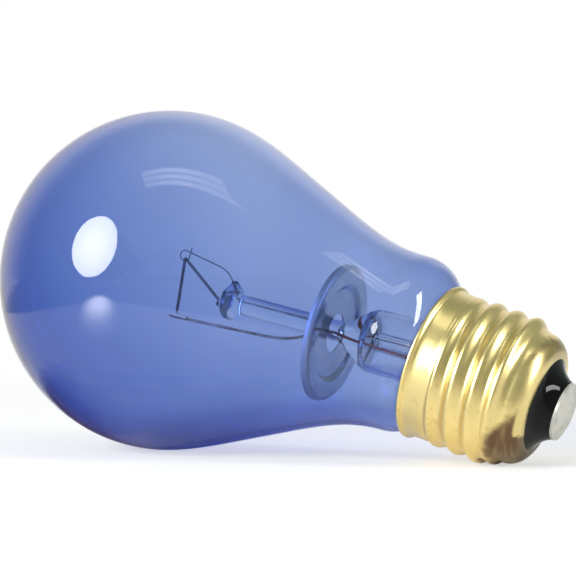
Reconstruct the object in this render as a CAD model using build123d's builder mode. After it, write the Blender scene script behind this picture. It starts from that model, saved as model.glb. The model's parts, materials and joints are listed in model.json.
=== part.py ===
from build123d import *
import os
from math import asin, atan2, cos, degrees, hypot, radians, sin, sqrt, tan

# A clear blue glass filament lamp with a brass screw cap, lying as it comes to rest:
# on its globe and on the thread of its cap, with the cap end low.
# A reach is a distance along the glass from the globe's centre towards the cap.
# A depth is a distance along the cap from its rim towards the contact.
# Lengths are in millimetres and angles in degrees.

# Globe and neck
globe_d = 60.3
glass_wall = 0.7
cone_angle = 24.0
neck_d = 30.4
neck_blend = 28.0
neck_length = 0.46
throat_d = 17.8

# Cap, which sits a little low and crooked on the neck
rim_gap = 0.69
throat_depth = 8.4
cap_drop = 1.85
cap_lean = 5.6
lip_d = 26.9
lip_length = 1.6
collar_d = 25.6
collar_length = 4.4
shell_wall = 0.3
nose_depth = 17.5
nose_d = 22.8
nose_round = 3.4

# Rolled thread of the cap
thread_d = 26.2
thread_pitch = 25.4 / 7
thread_height = 0.84
thread_depth = 4.2
thread_margin = 2.0
thread_tail = 0.2
crest_width = 0.8
root_width = 0.9
fade_length = 2.4

# Contact end
insulator_hollow = 0.42
insulator_bore_d = 2.0
contact_depth = 24.0
contact_d = 9.9
contact_edge = 0.45
contact_dome = 1.1

# Cement ring in the collar
cement_depth = 2.6

# Stem, which hangs a little below the middle of the neck
stem_drop = 1.0
stem_d = 11.0
stem_wall = 0.8
press_reach = 35.0
press_width = 8.4
press_thickness = 4.4
press_length = 6.0
flare_length = 4.8
seal_length = 1.2
exhaust_d = 3.4
exhaust_bore_d = 2.0
exhaust_end = 4.0
exhaust_tip = 2.2

# Arbor rod and its button
rod_d = 3.6
button_d = 6.4
button_reach = 11.0
button_length = 3.3
button_taper = 1.0

# Heat deflector disc
disc_gap = 1.7
disc_d = 23.5
disc_step_d = 17.1
disc_step = 0.7
disc_thickness = 0.3
disc_clearance = 0.15

# Wires, which are too thin for their roundness to show
wire_sides = 6
lead_d = 0.55
lead_spacing = 6.0
lead_straight = 3.6
lead_elbow = (9.5, -3.2, 4.6)
lead_bends = (2.4, 8.0)
tip_reach = 4.8
tip_spacing = 17.2
near_tip_rise = -3.9
far_tip_rise = -2.4
hook_gap = 0.45
hook_length = 3.0
seal_wire_d = 0.4
seal_wire_stub = 0.8
seal_wire_tail = 1.5
outer_lead_d = 0.45
outer_lead_turn = 3.0
outer_lead_bend = 3.0
contact_lead_end = 1.0
weld_depth = 14.2
weld_gap = 0.02

# Filament and its support
filament_d = 0.5
filament_gap = 0.55
filament_bend = 0.6
support_d = 0.25
support_root = 2.0
support_rise = 4.4
support_bend = 1.2
loop_reach = 2.0
loop_rise = 5.4
loop_r = 0.75
loop_turn = 280.0

globe_r = globe_d / 2
neck_r = neck_d / 2
throat_r = throat_d / 2
shoulder_r = neck_r - throat_r
slope = radians(cone_angle)
cone_end = globe_r * sin(slope) + (globe_r * cos(slope) - neck_r) / tan(slope)
neck_start = cone_end + neck_blend * tan(slope / 2)
neck_reach = neck_start + neck_length
rim_rise = lip_d / 2 - shell_wall - rim_gap - throat_r
cap_reach = neck_reach + sqrt(shoulder_r**2 - rim_rise**2)
throat_reach = cap_reach + throat_depth
tube_reach = press_reach + press_length
seal_reach = throat_reach - seal_length
flare_reach = seal_reach - flare_length
whole_turns = int((nose_depth - thread_margin - thread_depth) / thread_pitch)
thread_turns = whole_turns + thread_tail
thread_r = thread_d / 2
root_r = thread_r - thread_height
collar_bore = collar_d / 2 - shell_wall
nose_r = nose_d / 2
edge_r = nose_r - nose_round
edge_depth = nose_depth + nose_round
fade_depth = nose_depth - fade_length
contact_r = contact_d / 2
dome_depth = contact_depth + contact_edge
dome_r = (contact_r**2 + contact_dome**2) / (2 * contact_dome)
tip_depth = dome_depth + contact_dome


def thread_limit(depth):
    """Radius of the thread's crest at a depth, where it fades into the nose."""
    fade = max(depth - fade_depth, 0) / fade_length
    return thread_r - fade * (thread_r - nose_r)


def rest_tilt_on(depth):
    """Tilt of the glass when the cap rests on the underside of its crest at a depth."""
    lean = radians(cap_lean)
    along = cap_reach + depth * cos(lean) - thread_limit(depth) * sin(lean)
    below = cap_drop + depth * sin(lean) + thread_limit(depth) * cos(lean)
    return degrees(asin(globe_r / hypot(along, below)) - atan2(below, along))


def axis_plane(origin, tilt):
    """Plane of the lamp's section: x along an axis that dips by tilt, y up across it."""
    dip = radians(tilt)
    return Plane(origin=origin, x_dir=(cos(dip), 0, -sin(dip)), z_dir=(0, -1, 0))


def across(plane, reach):
    """Plane square to an axis plane's x direction."""
    middle = plane.from_local_coords(Vector(reach, 0, 0))
    return Plane(origin=middle, x_dir=plane.z_dir, z_dir=plane.x_dir)


def axis_of(plane):
    """Axis along an axis plane's x direction."""
    return Axis(plane.origin, plane.x_dir)


# The lamp tips until the first of the crests on its underside meets the floor.
low_crests = [thread_depth + (turn + 0.5) * thread_pitch for turn in range(whole_turns)]
glass_tilt = min(rest_tilt_on(crest + crest_width / 2) for crest in low_crests)
cap_tilt = glass_tilt + cap_lean

# The middle of the lamp's length stands over the origin.
cap_run = cap_reach * cos(radians(glass_tilt)) - cap_drop * sin(radians(glass_tilt))
contact_run = cap_run + (tip_depth - dome_r) * cos(radians(cap_tilt)) + dome_r
globe_x = (globe_r - contact_run) / 2

glass = axis_plane((globe_x, 0, globe_r), glass_tilt)
stem = axis_plane(glass.from_local_coords(Vector(0, -stem_drop, 0)), glass_tilt)
cap = axis_plane(glass.from_local_coords(Vector(cap_reach, -cap_drop, 0)), cap_tilt)


def save(piece, name):
    """Label a finished piece and write it."""
    piece.label = name
    export_step(piece, f"parts/{name}.step")


def round_corner(start, corner, end, inside):
    """Draw a quarter circle in a square corner, or two flats through it on a hidden inside."""
    if inside:
        ends = Vector(*start) + Vector(*end)
        middle = Vector(*corner) + (ends - Vector(*corner) * 2) * (1 - sqrt(0.5))
        Polyline(start, middle, end)
    else:
        Bezier(start, corner, end, weights=[1, sqrt(0.5), 1])


def bulb_face(inset):
    """Half section of the bulb from the crown to the throat, set in from its outside."""
    ball = globe_r - inset
    neck = neck_r - inset
    throat = throat_r - inset
    blend = neck_blend + inset
    cone_start = (ball * sin(slope), ball * cos(slope))
    blend_start = (neck_start - blend * sin(slope), neck + blend * (1 - cos(slope)))
    blend_middle = (neck_start - blend * sin(slope / 2), neck + blend * (1 - cos(slope / 2)))
    blend_end = (neck_start, neck)
    shoulder_end = neck_reach + shoulder_r - inset
    end = throat_reach + inset
    with BuildSketch(glass) as face:
        with BuildLine():
            ThreePointArc((-ball, 0), (0, ball), cone_start)
            Line(cone_start, blend_start)
            ThreePointArc(blend_start, blend_middle, blend_end)
            Line(blend_end, (neck_reach, neck))
            round_corner((neck_reach, neck), (shoulder_end, neck), (shoulder_end, throat), inset > 0)
            Polyline((shoulder_end, throat), (end, throat), (end, 0), (-ball, 0))
        make_face()
    return face.sketch


def cap_face(inset):
    """Half section of the cap's shell without its thread, set in by the sheet's thickness."""
    root = root_r - inset
    collar = collar_d / 2 - inset
    nose = nose_r - inset
    edge = edge_depth - inset
    with BuildSketch(cap) as face:
        with BuildLine():
            Polyline(
                (edge, 0),
                (0, 0),
                (0, lip_d / 2 - inset),
                (lip_length, collar),
                (collar_length, collar),
                (collar_length + thread_height, root),
                (fade_depth, root),
                (nose_depth, nose),
            )
            round_corner((nose_depth, nose), (edge, nose), (edge, edge_r), inset > 0)
            Line((edge, edge_r), (edge, 0))
        make_face()
    return face.sketch


def bent(points, bends):
    """Line of straight runs joined by bends, where a bend of no radius is a sharp corner."""
    with BuildLine() as line:
        FilletPolyline(*points, radius=list(bends))
    return line.line


def wire(route, diameter):
    """Wire along a line."""
    with BuildPart() as drawn:
        with BuildSketch(Plane(origin=route @ 0, z_dir=route % 0)):
            RegularPolygon(diameter / 2, wire_sides)
        sweep(path=route, transition=Transition.RIGHT)
    return drawn.part


def in_stem(reach, rise, side):
    """Point given along, above and beside the stem, with the near side positive."""
    return stem.from_local_coords(Vector(reach, rise, side))


def in_cap(depth, rise, side):
    """Point given along, above and beside the cap's axis, with the near side positive."""
    return cap.from_local_coords(Vector(depth, rise, side))


os.makedirs("parts", exist_ok=True)

# Blown bulb, open at the throat
with BuildPart() as glass_envelope:
    revolve(bulb_face(0), axis=axis_of(glass))
    revolve(bulb_face(glass_wall), axis=axis_of(glass), mode=Mode.SUBTRACT)
save(glass_envelope.part, "glass_envelope")

# Flare tube, pressed flat round the seal wires at one end and sealed into the throat at the other
seal_r = throat_r - glass_wall
stem_bore = stem_d / 2 - stem_wall
with BuildPart() as stem_flare:
    with BuildSketch(across(stem, press_reach)):
        Ellipse(press_width / 2, press_thickness / 2)
    with BuildSketch(across(stem, tube_reach)):
        Circle(stem_d / 2)
    loft()
    with BuildSketch(across(stem, tube_reach)):
        Circle(stem_d / 2)
    extrude(amount=flare_reach - tube_reach)
    with BuildSketch(across(stem, flare_reach)):
        Circle(stem_d / 2)
    with BuildSketch(across(glass, seal_reach)):
        Circle(seal_r)
    loft()
    with BuildSketch(across(glass, seal_reach)):
        Circle(seal_r)
    extrude(amount=seal_length)
    with BuildSketch(across(stem, tube_reach)):
        Circle(stem_bore)
    extrude(amount=flare_reach - tube_reach, mode=Mode.SUBTRACT)
    with BuildSketch(across(stem, flare_reach)):
        Circle(stem_bore)
    with BuildSketch(across(glass, seal_reach)):
        Circle(seal_r - stem_wall)
    loft(mode=Mode.SUBTRACT)
    with BuildSketch(across(glass, seal_reach)):
        Circle(seal_r - stem_wall)
    extrude(amount=seal_length, mode=Mode.SUBTRACT)
    with BuildSketch(across(stem, press_reach)):
        with Locations((-lead_spacing / 2, 0), (lead_spacing / 2, 0)):
            RegularPolygon(seal_wire_d / 2, wire_sides)
    extrude(amount=tube_reach - press_reach, mode=Mode.SUBTRACT)
save(stem_flare.part, "stem_flare")

# Exhaust tube, melted shut at its tip
exhaust_reach = throat_reach + exhaust_end
with BuildPart() as exhaust_tube:
    with BuildSketch(stem):
        with BuildLine():
            Polyline(
                (tube_reach, exhaust_bore_d / 2),
                (tube_reach, exhaust_d / 2),
                (exhaust_reach - exhaust_tip, exhaust_d / 2),
                (exhaust_reach, exhaust_bore_d / 2),
                (exhaust_reach, 0),
                (exhaust_reach - exhaust_tip, 0),
                (exhaust_reach - exhaust_tip, exhaust_bore_d / 2),
                close=True,
            )
        make_face()
    revolve(axis=axis_of(stem))
save(exhaust_tube.part, "exhaust_tube")

# Support wire, from the button to the pigtail that holds the middle of the filament
button_middle = button_reach + button_length / 2
with BuildLine(stem) as support_route:
    shank = FilletPolyline(
        (button_middle, support_root),
        (button_middle, support_rise),
        (loop_reach, loop_rise + loop_r),
        radius=support_bend,
    )
    JernArc(shank @ 1, shank % 1, loop_r, loop_turn)
support_wire = wire(support_route.line, support_d)
save(support_wire, "support_wire")

# Glass arbor rod with the button melted on its end
button_r = button_d / 2
button_end = button_reach + button_length
with BuildPart() as arbor_rod:
    with BuildSketch(stem):
        with BuildLine():
            Polyline(
                (press_reach, 0),
                (press_reach, rod_d / 2),
                (button_end, rod_d / 2),
                (button_end - button_taper, button_r),
                (button_reach + button_taper, button_r),
                (button_reach, button_r - button_taper),
                (button_reach, 0),
                close=True,
            )
        make_face()
    revolve(axis=axis_of(stem))
    add(support_wire, mode=Mode.SUBTRACT)
save(arbor_rod.part, "arbor_rod")

# Stepped heat deflector disc, with one hole for the rod and both leads
disc_reach = press_reach - disc_gap
disc_hole = lead_spacing / 2 + lead_d / 2 + disc_clearance
step_bottom = disc_step_d / 2 - disc_step
step_reach = disc_reach - disc_step
with BuildPart() as heat_disc:
    with BuildSketch(stem):
        with BuildLine():
            Polyline(
                (disc_reach, disc_d / 2),
                (disc_reach, disc_step_d / 2),
                (step_reach, step_bottom),
                (step_reach, disc_hole),
                (step_reach + disc_thickness, disc_hole),
                (step_reach + disc_thickness, step_bottom),
                (disc_reach + disc_thickness, disc_step_d / 2),
                (disc_reach + disc_thickness, disc_d / 2),
                close=True,
            )
        make_face()
    revolve(axis=axis_of(stem))
save(heat_disc.part, "heat_disc")

# Leads on the near side and the far side: inner lead with its hook, and seal wire through the press
hook_rise = hook_gap + lead_d
tip_side = tip_spacing / 2
lead_joint = press_reach - seal_wire_stub
elbow_run, elbow_rise, elbow_side = lead_elbow
seal_wire_end = tube_reach + seal_wire_tail
for side_name, side, tip_rise in (("near", 1, near_tip_rise), ("far", -1, far_tip_rise)):
    lead_route = bent(
        (
            in_stem(lead_joint, 0, side * lead_spacing / 2),
            in_stem(press_reach - lead_straight, 0, side * lead_spacing / 2),
            in_stem(press_reach - elbow_run, elbow_rise, side * elbow_side),
            in_stem(tip_reach, tip_rise, side * tip_side),
            in_stem(tip_reach, tip_rise + hook_rise, side * tip_side),
            in_stem(tip_reach + hook_length, tip_rise + hook_rise, side * tip_side),
        ),
        lead_bends + (0, 0),
    )
    save(wire(lead_route, lead_d), f"inner_lead_{side_name}")
    with BuildPart() as seal_wire:
        with BuildSketch(across(stem, lead_joint)):
            with Locations((side * lead_spacing / 2, 0)):
                RegularPolygon(seal_wire_d / 2, wire_sides)
        extrude(amount=seal_wire_end - lead_joint)
    save(seal_wire.part, f"seal_wire_{side_name}")

# Filament, from hook to hook over the pigtail
filament_side = tip_side - filament_gap
filament_reach = tip_reach + hook_length / 3
filament_route = bent(
    (
        in_stem(filament_reach, near_tip_rise + hook_rise / 2, filament_side),
        in_stem(loop_reach, loop_rise, 0),
        in_stem(filament_reach, far_tip_rise + hook_rise / 2, -filament_side),
    ),
    (filament_bend,),
)
save(wire(filament_route, filament_d), "filament")

# Outer leads: one to the inside of the shell, one through the insulator to the contact
outer_lead_reach = throat_reach - outer_lead_turn
weld_side = root_r - shell_wall - weld_gap
shell_lead_route = bent(
    (
        in_stem(seal_wire_end, 0, lead_spacing / 2),
        in_stem(outer_lead_reach, 0, lead_spacing / 2),
        in_cap(weld_depth, 0, weld_side - 2 * outer_lead_bend),
        in_cap(weld_depth, 0, weld_side),
    ),
    (outer_lead_bend, outer_lead_bend),
)
save(wire(shell_lead_route, outer_lead_d), "shell_lead")
contact_lead_route = bent(
    (
        in_stem(seal_wire_end, 0, -lead_spacing / 2),
        in_stem(outer_lead_reach, 0, -lead_spacing / 2),
        in_cap(nose_depth, 0, 0),
        in_cap(contact_depth + contact_lead_end, 0, 0),
    ),
    (outer_lead_bend, outer_lead_bend),
)
contact_lead = wire(contact_lead_route, outer_lead_d)
save(contact_lead, "contact_lead")

# Ridge of the thread: a helix that starts on the upper side and fades out at both ends
half_crest = crest_width / 2
half_foot = (thread_pitch - root_width) / 2
sunk = thread_height / 4
half_sunk = half_foot + sunk * (half_foot - half_crest) / thread_height
rise_depth = thread_depth + thread_pitch / 2
rise_slope = (rise_depth - lip_length) / thread_height
fade_slope = fade_length / (thread_r - nose_r)
with BuildPart() as thread_ridge:
    with BuildLine():
        helix = Helix(
            thread_pitch,
            thread_pitch * thread_turns,
            root_r,
            center=in_cap(thread_depth, 0, 0),
            direction=cap.x_dir,
        )
    with BuildSketch(Plane(origin=helix @ 0, x_dir=cap.y_dir, z_dir=helix % 0)):
        with BuildLine():
            Polyline(
                (-sunk, -half_sunk),
                (thread_height, -half_crest),
                (thread_height, half_crest),
                (-sunk, half_sunk),
                close=True,
            )
        make_face()
    sweep(path=helix, is_frenet=True)
    with BuildSketch(cap):
        with BuildLine():
            Polyline(
                (lip_length, 0),
                (lip_length, root_r),
                (rise_depth + rise_slope * sunk, thread_r + sunk),
                (fade_depth - fade_slope * sunk, thread_r + sunk),
                (nose_depth, nose_r),
                (nose_depth, 0),
                close=True,
            )
        make_face()
    revolve(axis=axis_of(cap), mode=Mode.INTERSECT)

# Brass shell, smooth inside and open at the nose
with BuildPart() as screw_shell:
    revolve(cap_face(0), axis=axis_of(cap))
    add(thread_ridge.part)
    revolve(cap_face(shell_wall), axis=axis_of(cap), mode=Mode.SUBTRACT)
    with BuildSketch(across(cap, nose_depth)):
        Circle(edge_r)
    extrude(amount=2 * nose_round, mode=Mode.SUBTRACT)
save(screw_shell.part, "screw_shell")

# Cement between the collar and the throat of the glass
with BuildPart() as base_cement:
    with BuildSketch(across(cap, cement_depth)):
        Circle(collar_bore)
    extrude(amount=collar_length - cement_depth)
    with BuildSketch(across(glass, neck_reach)):
        Circle(throat_r)
    extrude(amount=throat_reach - neck_reach, mode=Mode.SUBTRACT)
save(base_cement.part, "base_cement")

# Black glass insulator, moulded into the nose of the shell
flange_rise = (nose_round - shell_wall) * sqrt(0.5)
flange_depth = nose_depth + flange_rise
bore_r = insulator_bore_d / 2
with BuildPart() as insulator:
    with BuildSketch(cap):
        with BuildLine():
            SagittaArc((edge_depth, edge_r), (contact_depth, contact_r), insulator_hollow)
            Polyline(
                (contact_depth, contact_r),
                (contact_depth, bore_r),
                (flange_depth, bore_r),
                (flange_depth, edge_r + flange_rise),
                (edge_depth - shell_wall, edge_r),
                (edge_depth, edge_r),
            )
        make_face()
    revolve(axis=axis_of(cap))
save(insulator.part, "insulator")

# Domed solder contact, over the end of its lead
with BuildPart() as contact:
    with BuildSketch(cap):
        with BuildLine():
            RadiusArc((dome_depth, contact_r), (tip_depth, 0), dome_r)
            Polyline(
                (tip_depth, 0),
                (contact_depth, 0),
                (contact_depth, contact_r),
                (dome_depth, contact_r),
            )
        make_face()
    revolve(axis=axis_of(cap))
    add(contact_lead, mode=Mode.SUBTRACT)
save(contact.part, "contact")
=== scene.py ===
"""Looks of a clear blue glass filament lamp with a brass screw cap.

The lamp lies on its globe and on the thread of its cap, on a white floor in soft studio light.
Lengths are millimetres and angles are degrees. An AxisFrame turns them into the lamp's own frame, in metres.
A reach runs along the glass from the globe's centre, and a depth runs along the cap from its rim.
The studio's lengths are metres.
"""

import json
import logging
import math
from bisect import bisect_left
from dataclasses import dataclass
from enum import Enum, IntEnum
from typing import Any, Callable, Sequence

import bpy
from mathutils import Euler, Matrix, Vector

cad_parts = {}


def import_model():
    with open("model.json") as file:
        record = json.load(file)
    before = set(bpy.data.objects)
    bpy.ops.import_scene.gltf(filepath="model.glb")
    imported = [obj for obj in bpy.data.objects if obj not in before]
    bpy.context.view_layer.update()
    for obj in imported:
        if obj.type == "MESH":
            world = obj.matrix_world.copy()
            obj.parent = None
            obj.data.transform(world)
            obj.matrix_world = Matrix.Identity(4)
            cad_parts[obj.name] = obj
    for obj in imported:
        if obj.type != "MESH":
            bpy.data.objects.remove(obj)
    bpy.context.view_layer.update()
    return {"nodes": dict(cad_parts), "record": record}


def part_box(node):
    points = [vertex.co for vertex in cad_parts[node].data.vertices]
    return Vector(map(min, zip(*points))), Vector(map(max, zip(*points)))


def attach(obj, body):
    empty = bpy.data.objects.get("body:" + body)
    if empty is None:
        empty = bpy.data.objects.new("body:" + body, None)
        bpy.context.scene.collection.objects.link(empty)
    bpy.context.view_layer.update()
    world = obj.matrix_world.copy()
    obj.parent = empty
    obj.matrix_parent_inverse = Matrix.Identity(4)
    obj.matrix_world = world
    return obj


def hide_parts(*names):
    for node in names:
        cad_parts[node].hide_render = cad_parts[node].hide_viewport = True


LOG = logging.getLogger("lamp")
MM = 0.001
WELD = 0.0001
BODY = "root"
Pair = tuple[float, float]
Triple = tuple[float, float, float]
Colour = tuple[float, float, float, float]
Outline = list[Pair]
Piece = bpy.types.Object
Socket = bpy.types.NodeSocket


@dataclass(frozen=True)
class AxisFrame:
    """Axis of a turned piece: x along it towards the contact, y to the far side, z up across it.

    Attributes:
        origin: Start of the axis in the lamp's frame, in metres.
        dip: Angle by which the axis points down, in radians.
    """

    origin: Vector
    dip: float

    def matrix(self) -> Matrix:
        """Return the matrix from this axis, in millimetres, to the lamp's frame."""
        return Matrix.LocRotScale(self.origin, Euler((0.0, self.dip, 0.0)), Vector((MM, MM, MM)))

    def point(self, reach: float, rise: float, side: float) -> Vector:
        """Return a place along, above and beside the axis, with the near side positive."""
        return self.matrix() @ Vector((reach, -side, rise))

    def of(self, place: Vector) -> Vector:
        """Return a place of the lamp's frame as seen from this axis, in millimetres."""
        return self.matrix().inverted() @ place


@dataclass(frozen=True)
class LampSizes:
    """Sizes that several pieces share."""

    cap_lean: float = 5.6
    stem_drop: float = 1.0
    mount_depth: float = 10.0
    press_reach: float = 35.0
    tube_reach: float = 41.0
    throat_reach: float = 60.0
    lead_spacing: float = 6.0
    lead_d: float = 0.55
    nose_depth: float = 17.5
    nose_r: float = 11.4
    edge_r: float = 8.0
    edge_depth: float = 20.9
    contact_depth: float = 24.0
    contact_r: float = 4.95


@dataclass(frozen=True)
class LampAxes:
    """The three axes of the lamp: glass, stem and cap.

    Attributes:
        glass: Axis of the blown bulb, from the globe's centre.
        stem: Axis of the mount inside, a little below the glass axis.
        cap: Axis of the cap, from the middle of its rim.
    """

    glass: AxisFrame
    stem: AxisFrame
    cap: AxisFrame

    @classmethod
    def from_frame(cls, record: dict[str, Any], sizes: LampSizes) -> "LampAxes":
        """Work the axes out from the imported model.

        Args:
            record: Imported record, whose mount lies on the cap's axis.
            sizes: Sizes that tie the three axes together.

        Returns:
            The three axes.
        """
        low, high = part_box("glass_envelope")
        globe_r = (high.y - low.y) / 2
        centre = Vector((low.x + globe_r, 0.0, globe_r))
        mount = next(m for m in record["mounts"] if m["name"] == "screw_cap")
        along = Vector(mount["axis"])
        cap_dip = math.asin(-along.z)
        rim = Vector(mount["pos_m"]) - along * sizes.mount_depth * MM
        glass = AxisFrame(centre, cap_dip - math.radians(sizes.cap_lean))
        stem = AxisFrame(glass.point(0.0, -sizes.stem_drop, 0.0), glass.dip)
        return cls(glass, stem, AxisFrame(rim, cap_dip))


def blend(value: float, low: float, high: float) -> float:
    """Return a smooth rise from 0 at low to 1 at high."""
    share = min(max((value - low) / (high - low), 0.0), 1.0)
    return share * share * (3.0 - 2.0 * share)


def arc(centre: Pair, radius: float, start: float, end: float, steps: int) -> Outline:
    """Return the points of an arc between two angles, which are counted from the axis."""
    angles = [math.radians(start + (end - start) * step / steps) for step in range(steps + 1)]
    return [(centre[0] + radius * math.cos(a), centre[1] + radius * math.sin(a)) for a in angles]


def divided(start: Pair, end: Pair, steps: int) -> Outline:
    """Return the points inside a straight stretch, without its ends."""
    shares = [step / steps for step in range(1, steps)]
    return [(start[0] + (end[0] - start[0]) * s, start[1] + (end[1] - start[1]) * s) for s in shares]


def radius_at(outline: Outline, reach: float) -> float:
    """Return the radius of an outline at a reach.

    Args:
        outline: Points in rising order.
        reach: Place along the outline.

    Returns:
        The radius between the two nearest points.
    """
    index = min(max(bisect_left(outline, (reach, 0.0)), 1), len(outline) - 1)
    (x0, r0), (x1, r1) = outline[index - 1], outline[index]
    return r0 + (r1 - r0) * min(max((reach - x0) / (x1 - x0), 0.0), 1.0)


def rounded(corners: Sequence[Vector], trims: Sequence[float], steps: int = 8) -> list[Vector]:
    """Return a route of straight runs with its inner corners bent.

    Args:
        corners: Points of the route.
        trims: How far before and after each inner corner its bend starts and ends.
        steps: Number of stretches in a bend.

    Returns:
        The points of the bent route.
    """
    route = [corners[0]]
    for before, corner, after, trim in zip(corners, corners[1:], corners[2:], trims):
        start = corner + (before - corner).normalized() * trim
        end = corner + (after - corner).normalized() * trim
        for step in range(steps + 1):
            share = step / steps
            route.append(start.lerp(corner, share).lerp(corner.lerp(end, share), share))
    route.append(corners[-1])
    return route


def select_only(piece: Piece) -> None:
    """Make a piece the one selected and active object.

    Args:
        piece: Piece to select.
    """
    bpy.ops.object.select_all(action="DESELECT")
    piece.select_set(True)
    bpy.context.view_layer.objects.active = piece


def weld_up() -> None:
    """Merge the doubles of the mesh in edit mode, turn its faces outwards and leave edit mode."""
    bpy.ops.mesh.select_all(action="SELECT")
    bpy.ops.mesh.remove_doubles(threshold=WELD)
    bpy.ops.mesh.normals_make_consistent(inside=False)
    bpy.ops.object.mode_set(mode="OBJECT")


def draw_chain(name: str, route: Sequence[Vector]) -> Piece:
    """Draw a chain of edges by extruding one vertex from point to point.

    Args:
        name: Name of the piece.
        route: Points of the chain.

    Returns:
        The piece, in edit mode.
    """
    bpy.ops.object.select_all(action="DESELECT")
    bpy.ops.mesh.primitive_plane_add(size=1.0)
    piece = bpy.context.active_object
    piece.name = name
    piece.data.name = name
    bpy.ops.object.mode_set(mode="EDIT")
    bpy.ops.mesh.merge(type="CENTER")
    bpy.ops.transform.translate(value=route[0])
    for start, end in zip(route, route[1:]):
        bpy.ops.mesh.extrude_vertices_move(TRANSFORM_OT_translate={"value": end - start})
    return piece


def turn(name: str, outline: Outline, segments: int) -> Piece:
    """Turn a piece on its own axis from half of its outline.

    Args:
        name: Name of the piece.
        outline: Places along the axis and radii there.
        segments: Number of segments round the axis.

    Returns:
        The piece in its axis frame, in millimetres.
    """
    piece = draw_chain(name, [Vector((reach, 0.0, radius)) for reach, radius in outline])
    bpy.ops.mesh.select_all(action="SELECT")
    bpy.ops.mesh.spin(steps=segments, angle=math.tau, center=(0.0, 0.0, 0.0), axis=(1.0, 0.0, 0.0))
    weld_up()
    return piece


def thicken(chain: Piece, diameter: float, roundness: int) -> Piece:
    """Give a chain of edges a round section.

    Args:
        chain: Chain of edges.
        diameter: Diameter of the section.
        roundness: Resolution of the section.

    Returns:
        The same object as a closed mesh.
    """
    select_only(chain)
    bpy.ops.object.convert(target="CURVE")
    chain.data.dimensions = "3D"
    chain.data.bevel_depth = diameter / 2
    chain.data.bevel_resolution = roundness
    chain.data.use_fill_caps = True
    bpy.ops.object.convert(target="MESH")
    bpy.ops.object.mode_set(mode="EDIT")
    weld_up()
    return bpy.context.active_object


def draw_wire(name: str, route: Sequence[Vector], diameter: float, roundness: int = 2) -> Piece:
    """Draw a round wire along a route.

    Args:
        name: Name of the piece.
        route: Points of the wire's middle.
        diameter: Diameter of the wire.
        roundness: Resolution of its section.

    Returns:
        The wire as a mesh in its axis frame, in millimetres.
    """
    draw_chain(name, route)
    bpy.ops.object.mode_set(mode="OBJECT")
    return thicken(bpy.context.active_object, diameter, roundness)


def reshape(piece: Piece, move: Callable[[Vector], Vector]) -> None:
    """Move each vertex of a piece.

    Args:
        piece: Piece in its axis frame.
        move: Gives a vertex's new place for its old one.
    """
    for vertex in piece.data.vertices:
        vertex.co = move(vertex.co.copy())
    piece.data.update()


def apply_modifier(piece: Piece, kind: str, **settings: Any) -> None:
    """Add a modifier to a piece and apply it.

    Args:
        piece: Piece to change.
        kind: Type of the modifier.
        settings: Properties of the modifier.
    """
    select_only(piece)
    bpy.ops.object.modifier_add(type=kind)
    modifier = piece.modifiers[-1]
    for key, value in settings.items():
        setattr(modifier, key, value)
    bpy.ops.object.modifier_apply(modifier=modifier.name)


def fix_place(piece: Piece, matrix: Matrix) -> None:
    """Put a piece where a matrix takes it, with its place in its mesh.

    Args:
        piece: Piece to place.
        matrix: Matrix to its place.
    """
    piece.matrix_world = matrix
    select_only(piece)
    bpy.ops.object.transform_apply(location=True, rotation=True, scale=True)


def hand_over(piece: Piece, axis: AxisFrame, node: str, finish: "Finish", sharp: float = 40.0) -> None:
    """Bring a piece to its place on the lamp, dress it and let it stand for its solid.

    Args:
        piece: Piece in its axis frame, in millimetres.
        axis: Axis that it belongs to.
        node: Solid that the piece stands for.
        finish: Finish of the piece.
        sharp: Angle above which an edge stays sharp.
    """
    fix_place(piece, axis.matrix())
    bpy.ops.object.shade_smooth_by_angle(angle=math.radians(sharp))
    piece.data.materials.clear()
    piece.data.materials.append(finish.material())
    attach(piece, BODY)
    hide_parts(node)
    LOG.info("%s stands for %s, %d faces", piece.name, node, len(piece.data.polygons))


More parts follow.
